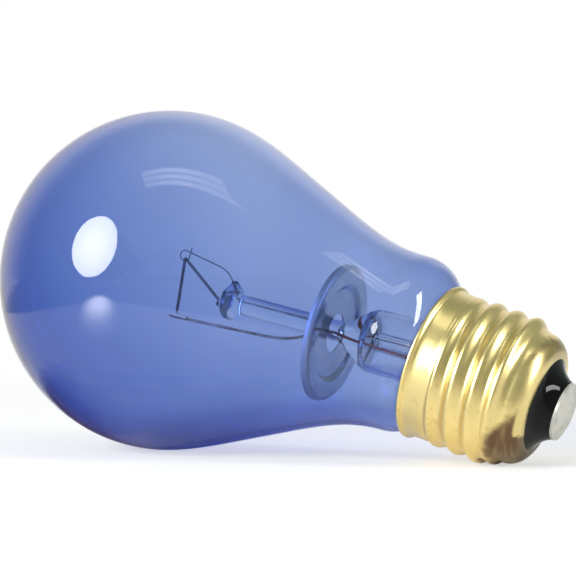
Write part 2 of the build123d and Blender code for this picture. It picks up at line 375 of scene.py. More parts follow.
class NodeTree:
    """Node tree of a finish, with short ways to add and join nodes."""

    def __init__(self, tree: bpy.types.NodeTree) -> None:
        """Take a tree and clear it."""
        self.tree = tree
        self.tree.nodes.clear()

    def add(self, kind: str, inputs: dict[Any, Any] | None = None, **settings: Any) -> bpy.types.Node:
        """Add a node.

        Args:
            kind: Type of the node.
            inputs: Value or joined output for each input, by name or number.
            settings: Properties of the node.

        Returns:
            The new node.
        """
        node = self.tree.nodes.new(kind)
        for key, value in settings.items():
            setattr(node, key, value)
        for key, value in (inputs or {}).items():
            if isinstance(value, Socket):
                self.tree.links.new(value, node.inputs[key])
            else:
                node.inputs[key].default_value = value
        return node

    def place_on(self, axis: AxisFrame) -> Socket:
        """Return the place on a piece as seen from an axis, in millimetres.

        Args:
            axis: Axis that the place is counted from.

        Returns:
            The place.
        """
        inputs = {"Vector": self.add("ShaderNodeTexCoord").outputs["Object"], "Location": axis.origin}
        inputs["Rotation"] = (0.0, axis.dip, 0.0)
        inputs["Scale"] = (MM, MM, MM)
        return self.add("ShaderNodeMapping", inputs, vector_type="TEXTURE").outputs["Vector"]

    def parts(self, vector: Socket) -> Any:
        """Return the X, Y and Z of a place, by name."""
        return self.add("ShaderNodeSeparateXYZ", {"Vector": vector}).outputs

    def noise(self, vector: Socket, scale: float, detail: float = 3.0) -> Socket:
        """Return a noise of so many cells in a millimetre."""
        inputs = {"Vector": vector, "Scale": scale, "Detail": detail}
        return self.add("ShaderNodeTexNoise", inputs).outputs["Fac"]

    def math(self, operation: str, first: Any, second: Any = 0.0) -> Socket:
        """Return the result of a sum on two values."""
        return self.add("ShaderNodeMath", {0: first, 1: second}, operation=operation).outputs[0]

    def product(self, first: Any, second: Any) -> Socket:
        """Return one value times another."""
        return self.math("MULTIPLY", first, second)

    def measure(self, operation: str, first: Any, second: Any = (0.0, 0.0, 0.0)) -> Socket:
        """Return a number taken from one or two vectors."""
        return self.add("ShaderNodeVectorMath", {0: first, 1: second}, operation=operation).outputs["Value"]

    def span(self, value: Any, low: float, high: float, start: Any = 0.0, end: Any = 1.0) -> Socket:
        """Return a smooth change from start at low to end at high."""
        inputs = {"Value": value, "From Min": low, "From Max": high, "To Min": start, "To Max": end}
        return self.add("ShaderNodeMapRange", inputs, interpolation_type="SMOOTHSTEP").outputs["Result"]

    def fade(self, value: Any, low: float, high: float, start: float = 1.0) -> Socket:
        """Return a smooth fall from start at low to 0 at high."""
        return self.span(value, low, high, start, 0.0)

    def mix(self, share: Any, first: Any, second: Any) -> Socket:
        """Return a colour between two colours."""
        return self.add("ShaderNodeMix", {0: share, 6: first, 7: second}, data_type="RGBA").outputs[2]

    def bump(self, height: Socket, depth: float, strength: float = 1.0) -> Socket:
        """Return a normal bent by a height from 0 to 1, of that depth in millimetres."""
        inputs = {"Height": height, "Distance": depth * MM, "Strength": strength}
        return self.add("ShaderNodeBump", inputs).outputs["Normal"]

    def principled(self, inputs: dict[str, Any]) -> Socket:
        """Return the surface of a shader with these inputs."""
        return self.add("ShaderNodeBsdfPrincipled", inputs).outputs[0]

    def glow(self, tone: Colour) -> Socket:
        """Return a surface that glows, where 1 is white paper."""
        return self.add("ShaderNodeEmission", {"Color": tone, "Strength": 1.0}).outputs[0]

    def layer(self, share: Any, under: Socket, over: Socket) -> Socket:
        """Return a surface between two surfaces."""
        return self.add("ShaderNodeMixShader", {0: share, 1: under, 2: over}).outputs[0]

    def output(self, surface: Socket, **more: Socket) -> None:
        """Join the finished shader to the output."""
        self.add("ShaderNodeOutputMaterial", {"Surface": surface, **more})


def colour(red: float, green: float, blue: float) -> Colour:
    """Return an opaque colour."""
    return (red, green, blue, 1.0)


def grey(level: float) -> Colour:
    """Return an opaque grey."""
    return colour(level, level, level)


@dataclass(frozen=True)
class Finish:
    """Finish of a piece, made as one material.

    Attributes:
        slot: Material slot of the record that the finish belongs to.
        axis: Axis that its pattern follows.
    """

    slot: str
    axis: AxisFrame

    def material(self) -> bpy.types.Material:
        """Return the finish's material, which is made once.

        Returns:
            The material.
        """
        name = f"{self.slot}_finish"
        made = bpy.data.materials.get(name)
        if made is None:
            made = bpy.data.materials.new(name)
            made.use_nodes = True
            nodes = NodeTree(made.node_tree)
            self.shade(nodes, nodes.place_on(self.axis))
        return made

    def shade(self, nodes: NodeTree, place_on: Socket) -> None:
        """Draw the finish's nodes for a place on the piece."""
        raise NotImplementedError


@dataclass(frozen=True)
class GlassFinish(Finish):
    """Clear glass, tinted all through, with the faint waves of hand-hot glass.

    Attributes:
        passed: Colour that the glass lets through.
        density: How fast it takes the other colours out, per metre.
        wave: Length of its waves.
        wave_depth: Depth of its waves.
        index: Index of refraction.
        shade_tint: Tint that one surface gives to the light of the lamps.
        seed_size: Size of the few dark seeds in the glass.
        seed_scale: How close together the seeds lie.
        seed: Tint of a seed.
        most_mirrored: Number of mirrorings after which light goes straight on.
    """

    passed: Colour = colour(0.09, 0.317, 0.76)
    density: float = 1300.0
    wave: float = 9.0
    wave_depth: float = 0.004
    index: float = 1.5
    shade_tint: Colour = colour(0.70, 0.76, 0.92)
    seed_size: float = 0.16
    seed_scale: float = 0.07
    seed: Colour = colour(0.45, 0.45, 0.5)
    most_mirrored: float = 1.5

    def shade(self, nodes: NodeTree, place_on: Socket) -> None:
        """Draw the glass, which lets the lamps through to what lies behind it.

        Args:
            nodes: Tree of the finish.
            place_on: Place on the piece.
        """
        waves = nodes.noise(place_on, 1.0 / self.wave, 1.0)
        seeds = nodes.add("ShaderNodeTexVoronoi", {"Vector": place_on, "Scale": self.seed_scale})
        speck = nodes.fade(seeds.outputs["Distance"], self.seed_size * 0.04, self.seed_size * 0.1)
        glass = nodes.principled({
            "Base Color": nodes.mix(speck, grey(1.0), self.seed),
            "Roughness": 0.0,
            "IOR": self.index,
            "Transmission Weight": 1.0,
            "Normal": nodes.bump(waves, self.wave_depth),
        })
        shadow = nodes.add("ShaderNodeBsdfTransparent", {"Color": self.shade_tint}).outputs[0]
        path = nodes.add("ShaderNodeLightPath").outputs
        caught = nodes.math("GREATER_THAN", path["Glossy Depth"], self.most_mirrored)
        surface = nodes.layer(nodes.math("MAXIMUM", path["Is Shadow Ray"], caught), glass, shadow)
        tint = nodes.add("ShaderNodeVolumeAbsorption", {"Color": self.passed, "Density": self.density})
        nodes.output(surface, Volume=tint.outputs[0])


@dataclass(frozen=True)
class BrassFinish(Finish):
    """Polished brass sheet with a brown heat tint at the nose, faint stains on the collar and a painted
    contact shadow under the thread.

    Attributes:
        bright: Colour of clean brass.
        dull: Colour of stained brass.
        burnt: Colour of the heat tint.
        black: Colour of the painted contact shadow, a small black spot where the thread touches the floor.
        spot: Place of that painted shadow, on the cap's axis.
        spot_r: Radii between which the painted shadow ends.
        ragged: How far the tint's edge wanders.
        low_depth: Depths between which the lower tint starts.
        low_slant: Heights between which it ends, on a slope.
        slope: That slope.
        high_depth: Depths between which the upper tint starts.
        high_rise: Heights between which the upper tint starts.
        high_share: Strength of the upper tint.
        clean_depth: Depths between which the clean band along the edge starts.
        clean_low: Heights between which that band starts.
        clean_high: Heights between which it ends.
        under_rise: Heights between which the tint is weaker underneath.
        hoops: Scale of the streaks that run round the cap.
    """

    bright: Colour = colour(0.80, 0.64, 0.28)
    dull: Colour = colour(0.60, 0.43, 0.16)
    burnt: Colour = colour(0.15, 0.088, 0.05)
    black: Colour = colour(0.02, 0.017, 0.012)
    spot: Triple = (14.7, -4.2, -11.9)
    spot_r: Pair = (0.35, 0.95)
    ragged: float = 5.0
    low_depth: Pair = (14.9, 17.4)
    low_slant: Pair = (-26.6, -29.0)
    slope: float = 1.3
    high_depth: Pair = (17.9, 19.2)
    high_rise: Pair = (5.0, 8.0)
    high_share: float = 0.55
    clean_depth: Pair = (19.5, 20.1)
    clean_low: Pair = (-6.5, -5.5)
    clean_high: Pair = (5.0, 3.0)
    under_rise: Pair = (-11.5, -9.0)
    hoops: Triple = (1.3, 0.16, 0.16)

    def shade(self, nodes: NodeTree, place_on: Socket) -> None:
        """Draw the brass.

        Args:
            nodes: Tree of the finish.
            place_on: Place on the piece.
        """
        place = nodes.parts(place_on)
        cloud = nodes.noise(place_on, 0.28)
        stain = nodes.noise(place_on, 0.75, 4.0)
        wander = nodes.math("SUBTRACT", nodes.noise(place_on, 0.4, 1.0), 0.5)
        depth = nodes.math("ADD", place["X"], nodes.product(wander, self.ragged))
        rise = nodes.math("SUBTRACT", place["Z"], nodes.product(stain, 2.0))
        slant = nodes.math("SUBTRACT", rise, nodes.product(place["X"], self.slope))
        low = nodes.product(nodes.span(depth, *self.low_depth), nodes.span(slant, *self.low_slant))
        upper = nodes.span(rise, *self.high_rise, 0.0, self.high_share)
        high = nodes.product(nodes.span(depth, *self.high_depth), upper)
        edge = nodes.product(nodes.span(place["X"], *self.clean_depth), nodes.span(rise, *self.clean_low))
        clean = nodes.span(nodes.product(edge, nodes.span(rise, *self.clean_high)), 0.0, 1.0, 1.0, 0.1)
        hoops = nodes.add("ShaderNodeMapping", {"Vector": place_on, "Scale": self.hoops}).outputs["Vector"]
        streak = nodes.span(nodes.noise(hoops, 0.8, 2.0), 0.36, 0.6, 0.84, 1.0)
        under = nodes.span(place["Z"], *self.under_rise, 0.7, 1.0)
        even = nodes.product(clean, nodes.product(under, streak))
        burn = nodes.product(even, nodes.math("MAXIMUM", low, high))
        worn = nodes.span(stain, 0.56, 0.74, 0.0, 0.5)
        metal = nodes.mix(burn, nodes.mix(worn, self.bright, self.dull), self.burnt)
        # Painted contact shadow: a black spot where the thread touches the floor.
        off = nodes.measure("DISTANCE", place_on, self.spot)
        dimmed = nodes.math("ADD", cloud, nodes.product(stain, 0.5))
        nodes.output(nodes.principled({
            "Base Color": nodes.mix(nodes.fade(off, *self.spot_r), metal, self.black),
            "Metallic": 1.0,
            "Roughness": nodes.span(dimmed, 0.5, 1.0, 0.28, 0.35),
        }))


@dataclass(frozen=True)
class SheetMetalFinish(Finish):
    """Polished aluminium with the faint rings of a spun disc and a duller rim.

    Attributes:
        bright: Colour of the clean metal.
        dull: Colour of the clouded metal.
        middle: Middle of the disc, on the stem's axis.
        rim: Radii between which the rim starts, which is duller.
        rim_rough: How much rougher the rim is.
        rings: Number of rings in a millimetre.
    """

    bright: Colour = colour(0.60, 0.62, 0.66)
    dull: Colour = colour(0.52, 0.54, 0.58)
    middle: Triple = (0.0, 0.0, -0.5)
    rim: Pair = (11.15, 11.45)
    rim_rough: float = 0.26
    rings: float = 5.0

    def shade(self, nodes: NodeTree, place_on: Socket) -> None:
        """Draw the aluminium.

        Args:
            nodes: Tree of the finish.
            place_on: Place on the piece.
        """
        off = nodes.add("ShaderNodeVectorMath", {0: place_on, 1: self.middle}, operation="SUBTRACT")
        place = nodes.parts(off.outputs[0])
        flat = nodes.add("ShaderNodeCombineXYZ", {"Y": place["Y"], "Z": place["Z"]})
        radius = nodes.measure("LENGTH", flat.outputs[0])
        ring = nodes.add("ShaderNodeCombineXYZ", {"X": nodes.product(radius, self.rings)})
        spun = nodes.noise(ring.outputs[0], 1.0, 4.0)
        cloud = nodes.noise(place_on, 0.3)
        rim = nodes.span(radius, *self.rim, 0.0, self.rim_rough)
        nodes.output(nodes.principled({
            "Base Color": nodes.mix(nodes.span(cloud, 0.4, 0.75), self.bright, self.dull),
            "Metallic": 1.0,
            "Roughness": nodes.math("ADD", rim, nodes.span(spun, 0.3, 0.7, 0.14, 0.22)),
            "Normal": nodes.bump(spun, 0.002, 0.3),
        }))


class Wire(Enum):
    """Metals of the wires, each with its bright and its dull colour."""

    NICKEL = (colour(0.34, 0.31, 0.33), colour(0.13, 0.12, 0.13))
    COPPER = (colour(0.42, 0.09, 0.07), colour(0.22, 0.04, 0.04))
    TUNGSTEN = (colour(0.2, 0.21, 0.27), colour(0.11, 0.115, 0.15))


@dataclass(frozen=True)
class WireFinish(Finish):
    """Drawn wire, dulled in patches along its length, with a painted highlight on its folded end.

    Attributes:
        metal: Metal of the wire.
        rough: Roughness of its bright places.
        pressed_to: Reach to which its folded end runs, which is painted lighter as a highlight and made
            rougher.
        pressed_rise: Height of that folded end.
        pressed: Colour of the painted highlight on that folded end.
    """

    metal: Wire = Wire.NICKEL
    rough: float = 0.3
    pressed_to: float = -100.0
    pressed_rise: float = -3.35
    pressed: Colour = colour(0.68, 0.62, 0.54)

    def shade(self, nodes: NodeTree, place_on: Socket) -> None:
        """Draw the wire.

        Args:
            nodes: Tree of the finish.
            place_on: Place on the piece.
        """
        patches = nodes.noise(place_on, 0.6, 4.0)
        drawn = nodes.noise(place_on, 9.0, 2.0)
        metal = nodes.mix(nodes.span(patches, 0.35, 0.7), *self.metal.value)
        place = nodes.parts(place_on)
        # Painted highlight: the folded end is painted lighter than the rest of the wire.
        gap = nodes.math("ABSOLUTE", nodes.math("SUBTRACT", place["Z"], self.pressed_rise))
        end = nodes.fade(place["X"], self.pressed_to - 0.6, self.pressed_to)
        flat = nodes.product(end, nodes.fade(gap, 0.2, 0.36))
        rough = nodes.span(drawn, 0.3, 0.7, self.rough, self.rough + 0.18)
        nodes.output(nodes.principled({
            "Base Color": nodes.mix(flat, metal, self.pressed),
            "Metallic": 1.0,
            "Roughness": nodes.math("ADD", rough, nodes.product(flat, 0.2)),
            "Normal": nodes.bump(drawn, 0.01, 0.4),
        }))


@dataclass(frozen=True)
class BlackGlassFinish(Finish):
    """Opaque black glass with a fire-polished skin and a little dust."""

    clean: Colour = grey(0.002)
    dusty: Colour = grey(0.008)

    def shade(self, nodes: NodeTree, place_on: Socket) -> None:
        """Draw the black glass.

        Args:
            nodes: Tree of the finish.
            place_on: Place on the piece.
        """
        flow = nodes.noise(place_on, 0.35, 2.0)
        dust = nodes.noise(place_on, 3.0, 4.0)
        nodes.output(nodes.principled({
            "Base Color": nodes.mix(nodes.span(dust, 0.55, 0.8), self.clean, self.dusty),
            "Roughness": nodes.span(dust, 0.45, 0.8, 0.04, 0.1),
            "IOR": 1.36,
            "Specular IOR Level": 0.3,
            "Normal": nodes.bump(flow, 0.03, 0.5),
        }))


@dataclass(frozen=True)
class SolderFinish(Finish):
    """Dull grey solder, smeared and pitted where it touched a holder."""

    bright: Colour = colour(0.53, 0.51, 0.47)
    dull: Colour = colour(0.42, 0.41, 0.38)

    def shade(self, nodes: NodeTree, place_on: Socket) -> None:
        """Draw the solder.

        Args:
            nodes: Tree of the finish.
            place_on: Place on the piece.
        """
        smear = nodes.noise(place_on, 0.45, 4.0)
        pits = nodes.noise(place_on, 3.5, 4.0)
        nodes.output(nodes.principled({
            "Base Color": nodes.mix(nodes.span(smear, 0.42, 0.7), self.bright, self.dull),
            "Metallic": 0.6,
            "Roughness": nodes.span(smear, 0.3, 0.7, 0.38, 0.55),
            "Normal": nodes.bump(pits, 0.03, 0.6),
        }))


@dataclass(frozen=True)
class CementFinish(Finish):
    """Sandy basing cement."""

    pale: Colour = colour(0.62, 0.54, 0.40)
    dark: Colour = colour(0.44, 0.37, 0.26)

    def shade(self, nodes: NodeTree, place_on: Socket) -> None:
        """Draw the cement.

        Args:
            nodes: Tree of the finish.
            place_on: Place on the piece.
        """
        sand = nodes.noise(place_on, 5.0, 5.0)
        cloud = nodes.noise(place_on, 0.7)
        nodes.output(nodes.principled({
            "Base Color": nodes.mix(cloud, self.pale, self.dark),
            "Roughness": nodes.span(sand, 0.3, 0.7, 0.75, 0.95),
            "Normal": nodes.bump(sand, 0.08, 0.8),
        }))


@dataclass(frozen=True)
class Finishes:
    """All the finishes of the lamp."""

    blue_glass: GlassFinish
    clear_glass: GlassFinish
    aluminium: SheetMetalFinish
    nickel: WireFinish
    copper: WireFinish
    tungsten: WireFinish
    brass: BrassFinish
    cement: CementFinish
    black_glass: BlackGlassFinish
    solder: SolderFinish

    @classmethod
    def on(cls, axes: LampAxes) -> "Finishes":
        """Lay the finishes out on the lamp's axes.

        Args:
            axes: Axes of the lamp.

        Returns:
            The finishes.
        """
        clear = GlassFinish(
            "clear_glass", axes.stem, passed=colour(0.55, 0.75, 0.8), density=25.0, wave=3.0,
            wave_depth=0.006, index=1.4, shade_tint=grey(0.97), seed_size=0.01,
        )
        return cls(
            GlassFinish("blue_glass", axes.glass),
            clear,
            SheetMetalFinish("aluminium", axes.stem),
            WireFinish("nickel", axes.stem, Wire.NICKEL, pressed_to=9.2),
            WireFinish("copper", axes.stem, Wire.COPPER, rough=0.35),
            WireFinish("tungsten", axes.stem, Wire.TUNGSTEN, rough=0.4),
            BrassFinish("brass", axes.cap),
            CementFinish("cement", axes.cap),
            BlackGlassFinish("black_glass", axes.cap),
            SolderFinish("solder", axes.cap),
        )


@dataclass
class LampPart:
    """Sub-assembly of the lamp.

    Attributes:
        axes: Axes of the lamp.
        sizes: Sizes that several pieces share.
        finishes: Finishes of the lamp.
    """

    axes: LampAxes
    sizes: LampSizes
    finishes: Finishes


@dataclass
class BlownBulb(LampPart):
    """Blown bulb: globe, cone, neck, and the shoulder that runs into the cap."""

    globe_r: float = 30.15
    globe_steps: int = 57
    firm_steps: int = 45
    cone_angle: float = 24.0
    neck_r: float = 15.2
    neck_blend: float = 28.0
    neck_length: float = 0.46
    ease: float = 12.0
    ease_steps: int = 160
    throat_r: float = 8.9
    crown_wall: float = 1.05
    crown_start: float = 4.0
    globe_wall: float = 0.68
    neck_wall: float = 0.55
    neck_thins: Pair = (10.0, 42.0)
    sag: float = 0.36
    sag_start: Pair = (0.15, 0.4)
    sag_end: float = 14.0
    segments: int = 160

    def outline(self) -> Outline:
        """Return the outside of the glass from the crown to the throat.

        Returns:
            The points of the outside.
        """
        slope = math.radians(self.cone_angle)
        corner = self.globe_r * math.sin(slope)
        corner += (self.globe_r * math.cos(slope) - self.neck_r) / math.tan(slope)
        neck_start = corner + self.neck_blend * math.tan(slope / 2)
        neck_reach = neck_start + self.neck_length
        globe = arc((0.0, 0.0), self.globe_r, 180.0, 90.0 - self.cone_angle, self.globe_steps)
        blend_top = (neck_start, self.neck_r + self.neck_blend)
        neck = arc(blend_top, self.neck_blend, -90.0 - self.cone_angle, -90.0, 10)
        shoulder = arc((neck_reach, self.throat_r), self.neck_r - self.throat_r, 90.0, 0.0, 14)
        end = (self.sizes.throat_reach, self.throat_r)
        firm, rest = globe[:self.firm_steps], globe[self.firm_steps:]
        flank = rest + divided(globe[-1], neck[0], 24) + neck + [(neck_reach + 2.0, self.neck_r)]
        soft = [(reach, radius) for reach, radius in self.eased(flank) if reach < neck_reach - 0.2]
        return firm + soft + shoulder + divided(shoulder[-1], end, 4) + [end]

    def eased(self, outline: Outline) -> Outline:
        """Ease the changes of curve along an outline, as in glass that was blown soft.

        Args:
            outline: Points of the outline.

        Returns:
            The outline with its slope averaged over a short run, which ends where it did.
        """
        count = self.ease_steps
        first, last = outline[0], outline[-1]
        run = (last[0] - first[0]) / count
        reaches = [first[0] + run * step for step in range(count + 1)]
        radii = [radius_at(outline, reach) for reach in reaches]
        slopes = [(after - before) / run for before, after in zip(radii, radii[1:])]
        half = round(self.ease / 2 / run)
        soft = []
        for step in range(count):
            reach_in = min(half, step, count - 1 - step)
            window = slopes[step - reach_in:step + reach_in + 1]
            soft.append(sum(window) / len(window))
        scale = sum(slopes) / sum(soft)
        result = [first]
        for step, slope in enumerate(soft):
            result.append((reaches[step + 1], result[-1][1] + slope * scale * run))
        return result[::2]

    def wall(self, reach: float) -> float:
        """Return the glass's thickness, which the blowing leaves heavy at the crown.

        Args:
            reach: Place along the glass.

        Returns:
            The thickness there.
        """
        crown = blend(-reach, -self.crown_start, self.globe_r)
        neck = blend(reach, *self.neck_thins)
        thick = self.globe_wall + crown * (self.crown_wall - self.globe_wall)
        return thick + neck * (self.neck_wall - self.globe_wall)

    def inside(self, outline: Outline) -> Outline:
        """Return the inside of the glass for its outside.

        Args:
            outline: Points of the outside.

        Returns:
            The points of the inside, in the same order.
        """
        before = [outline[0]] + outline[:-1]
        after = outline[1:] + [outline[-1]]
        inner = []
        for (reach, radius), start, end in zip(outline, before, after):
            run = Vector((end[0] - start[0], end[1] - start[1])).normalized()
            thick = self.wall(reach)
            inner.append((reach + run.y * thick, max(radius - run.x * thick, 0.0)))
        inner[0] = (outline[0][0] + self.wall(outline[0][0]), 0.0)
        return inner

    def sagged(self, place_on: Vector, outside: Outline) -> Vector:
        """Lift a place on the inside of the glass, which leaves the wall heavier underneath.

        Args:
            place_on: Place on the glass.
            outside: Points of the outside.

        Returns:
            The lifted place.
        """
        within = radius_at(outside, place_on.x) - math.hypot(place_on.y, place_on.z)
        press = self.sizes.press_reach
        lost = blend(place_on.x, 0.0, press) + blend(place_on.x, press, press + self.sag_end)
        place_on.z += self.sag * blend(within, *self.sag_start) * (1.0 - 0.5 * lost)
        return place_on

    def build(self) -> None:
        """Build the bulb and dress it."""
        outside = self.outline()
        outside[0] = (outside[0][0], 0.0)
        glass = turn("blown_bulb", outside + self.inside(outside)[::-1], self.segments)
        reshape(glass, lambda place_on: self.sagged(place_on, outside))
        hand_over(glass, self.axes.glass, "glass_envelope", self.finishes.blue_glass, 60.0)


@dataclass
class Stem(LampPart):
    """Glass mount in the neck: flare tube, exhaust tube and arbor rod."""

    tube_r: float = 5.5
    tube_wall: float = 0.8
    tube_edge: float = 0.8
    press_width: float = 8.4
    press_thickness: float = 4.4
    press_face: float = 0.82
    roof_share: float = 0.45
    flare_reach: float = 54.0
    seal_reach: float = 58.8
    seal_r: float = 8.2
    exhaust_r: float = 1.7
    exhaust_bore: float = 1.0
    exhaust_tip: float = 2.2
    exhaust_reach: float = 64.0
    rod_r: float = 1.8
    rod_neck: float = 1.6
    button_r: float = 3.2
    button_reach: float = 11.0
    button_length: float = 3.3
    nub_height: float = 0.65
    nub_spread: float = 0.9
    segments: int = 72

    def squeezed(self, place_on: Vector) -> Vector:
        """Press a place of the round tube flat towards the end that grips the wires.

        Args:
            place_on: Place on the tube.

        Returns:
            The pressed place.
        """
        share = 1.0 - blend(place_on.x, self.sizes.press_reach, self.sizes.tube_reach)
        wide = self.press_width / 2 / self.tube_r
        thick = self.press_thickness / 2 / self.tube_r
        place_on.y *= 1.0 + share * (wide - 1.0)
        place_on.z *= 1.0 + share * (thick - 1.0)
        return place_on

    def build_flare(self) -> None:
        """Build the flare tube with its pressed end."""
        start, tube = self.sizes.press_reach, self.sizes.tube_reach
        rounding = self.tube_edge
        outside = [(start, 0.0), (start, self.tube_r * self.press_face)]
        outside += arc((start + rounding, self.tube_r - rounding), rounding, 180.0, 90.0, 5)
        outside += divided((start + rounding, self.tube_r), (tube, self.tube_r), 14) + [(tube, self.tube_r)]
        outside += divided((tube, self.tube_r), (self.flare_reach, self.tube_r), 4)
        spread = self.seal_reach - self.flare_reach
        for step in range(13):
            share = step / 12
            radius = self.tube_r + (self.seal_r - self.tube_r) * share * share
            outside.append((self.flare_reach + spread * share, radius))
        outside.append((self.sizes.throat_reach, self.seal_r))
        inside = [(reach, radius - self.tube_wall) for reach, radius in outside if reach > tube]
        roof = arc((tube, 0.0), self.tube_r - self.tube_wall, 90.0, 180.0, 10)
        roof = [(tube + (reach - tube) * self.roof_share, max(radius, 0.0)) for reach, radius in roof]
        flare = turn("flare_tube", outside + inside[::-1] + roof, self.segments)
        reshape(flare, self.squeezed)
        hand_over(flare, self.axes.stem, "stem_flare", self.finishes.clear_glass)

    def build_exhaust(self) -> None:
        """Build the exhaust tube, melted shut at its tip."""
        start, bore = self.sizes.tube_reach, self.exhaust_bore
        tip = self.exhaust_reach - self.exhaust_tip
        outside = [(start, bore), (start, self.exhaust_r)]
        outside += divided(outside[-1], (tip, self.exhaust_r), 6)
        for step in range(9):
            angle = math.radians(10.0 * step)
            outside.append((tip + self.exhaust_tip * math.sin(angle), self.exhaust_r * math.cos(angle)))
        outside += [(self.exhaust_reach, 0.0)]
        inside = [(tip, 0.0), (tip - 0.3, 0.7 * bore), (tip - 0.8, bore)]
        inside += divided(inside[-1], (start, bore), 6) + [(start, bore)]
        tube = turn("exhaust", outside + inside, self.segments)
        hand_over(tube, self.axes.stem, "exhaust_tube", self.finishes.clear_glass)

    def nubbed(self, place_on: Vector) -> Vector:
        """Raise the button's glass round the root of the support wire.

        Args:
            place_on: Place on the rod.

        Returns:
            The raised place.
        """
        root = Vector((self.button_reach + self.button_length / 2, 0.0, self.button_r))
        off = (place_on - root) / self.nub_spread
        place_on.z += self.nub_height * math.exp(-off.length_squared)
        return place_on

    def build_rod(self) -> None:
        """Build the arbor rod with the button melted on its end."""
        half = self.button_length / 2
        middle = self.button_reach + half
        outline = []
        for step in range(25):
            angle = math.radians(180.0 - 150.0 * step / 24)
            bulge = math.copysign(abs(math.cos(angle)) ** 0.8, math.cos(angle))
            outline.append((middle + half * bulge, self.button_r * abs(math.sin(angle)) ** 0.7))
        outline[0] = (self.button_reach, 0.0)
        foot = outline[-1]
        for step in range(1, 7):
            share = step / 6
            radius = foot[1] + (self.rod_r - foot[1]) * (1.0 - (1.0 - share) ** 2)
            outline.append((foot[0] + self.rod_neck * share, radius))
        end = (self.sizes.press_reach, self.rod_r)
        outline += divided(outline[-1], end, 12) + [end, (self.sizes.press_reach, 0.0)]
        rod = turn("arbor", outline, self.segments)
        reshape(rod, self.nubbed)
        hand_over(rod, self.axes.stem, "arbor_rod", self.finishes.clear_glass)

    def build(self) -> None:
        """Build the three glass pieces of the stem."""
        self.build_flare()
        self.build_exhaust()
        self.build_rod()


@dataclass
class HeatDisc(LampPart):
    """Stepped metal disc across the neck, with a narrow curled rim."""

    gap: float = 1.7
    disc_r: float = 11.75
    step_r: float = 8.55
    step: float = 0.7
    thickness: float = 0.3
    hole_r: float = 3.425
    curl: float = 0.5
    flange: float = 0.4
    settle: float = 0.5
    segments: int = 128

    def build(self) -> None:
        """Build the disc and dress it."""
        face = self.sizes.press_reach - self.gap + self.thickness
        low = face - self.step
        bend = self.curl
        front = [(low, self.hole_r), (low, self.step_r - 0.9)]
        front += [(low + 0.06, self.step_r - 0.65), (low + 0.2, self.step_r - 0.45)]
        front += [(face - 0.2, self.step_r - 0.05), (face - 0.06, self.step_r + 0.15)]
        front += [(face, self.step_r + 0.4)]
        front += divided(front[-1], (face, self.disc_r - bend), 3)
        front += arc((face - bend, self.disc_r - bend), bend, 0.0, 90.0, 8)
        front += [(face - bend - self.flange, self.disc_r)]
        disc = turn("deflector_disc", front, self.segments)
        apply_modifier(disc, "SOLIDIFY", thickness=self.thickness, offset=1.0, use_even_offset=True)
        reshape(disc, lambda place_on: place_on - Vector((0.0, 0.0, self.settle)))
        hand_over(disc, self.axes.stem, "heat_disc", self.finishes.aluminium)


class Side(IntEnum):
    """Sides of the lamp, as signs of a place beside its axis."""

    NEAR = 1
    FAR = -1

    def pick(self, values: Pair) -> float:
        """Return this side's value of a near and a far one."""
        return values[0] if self is Side.NEAR else values[1]


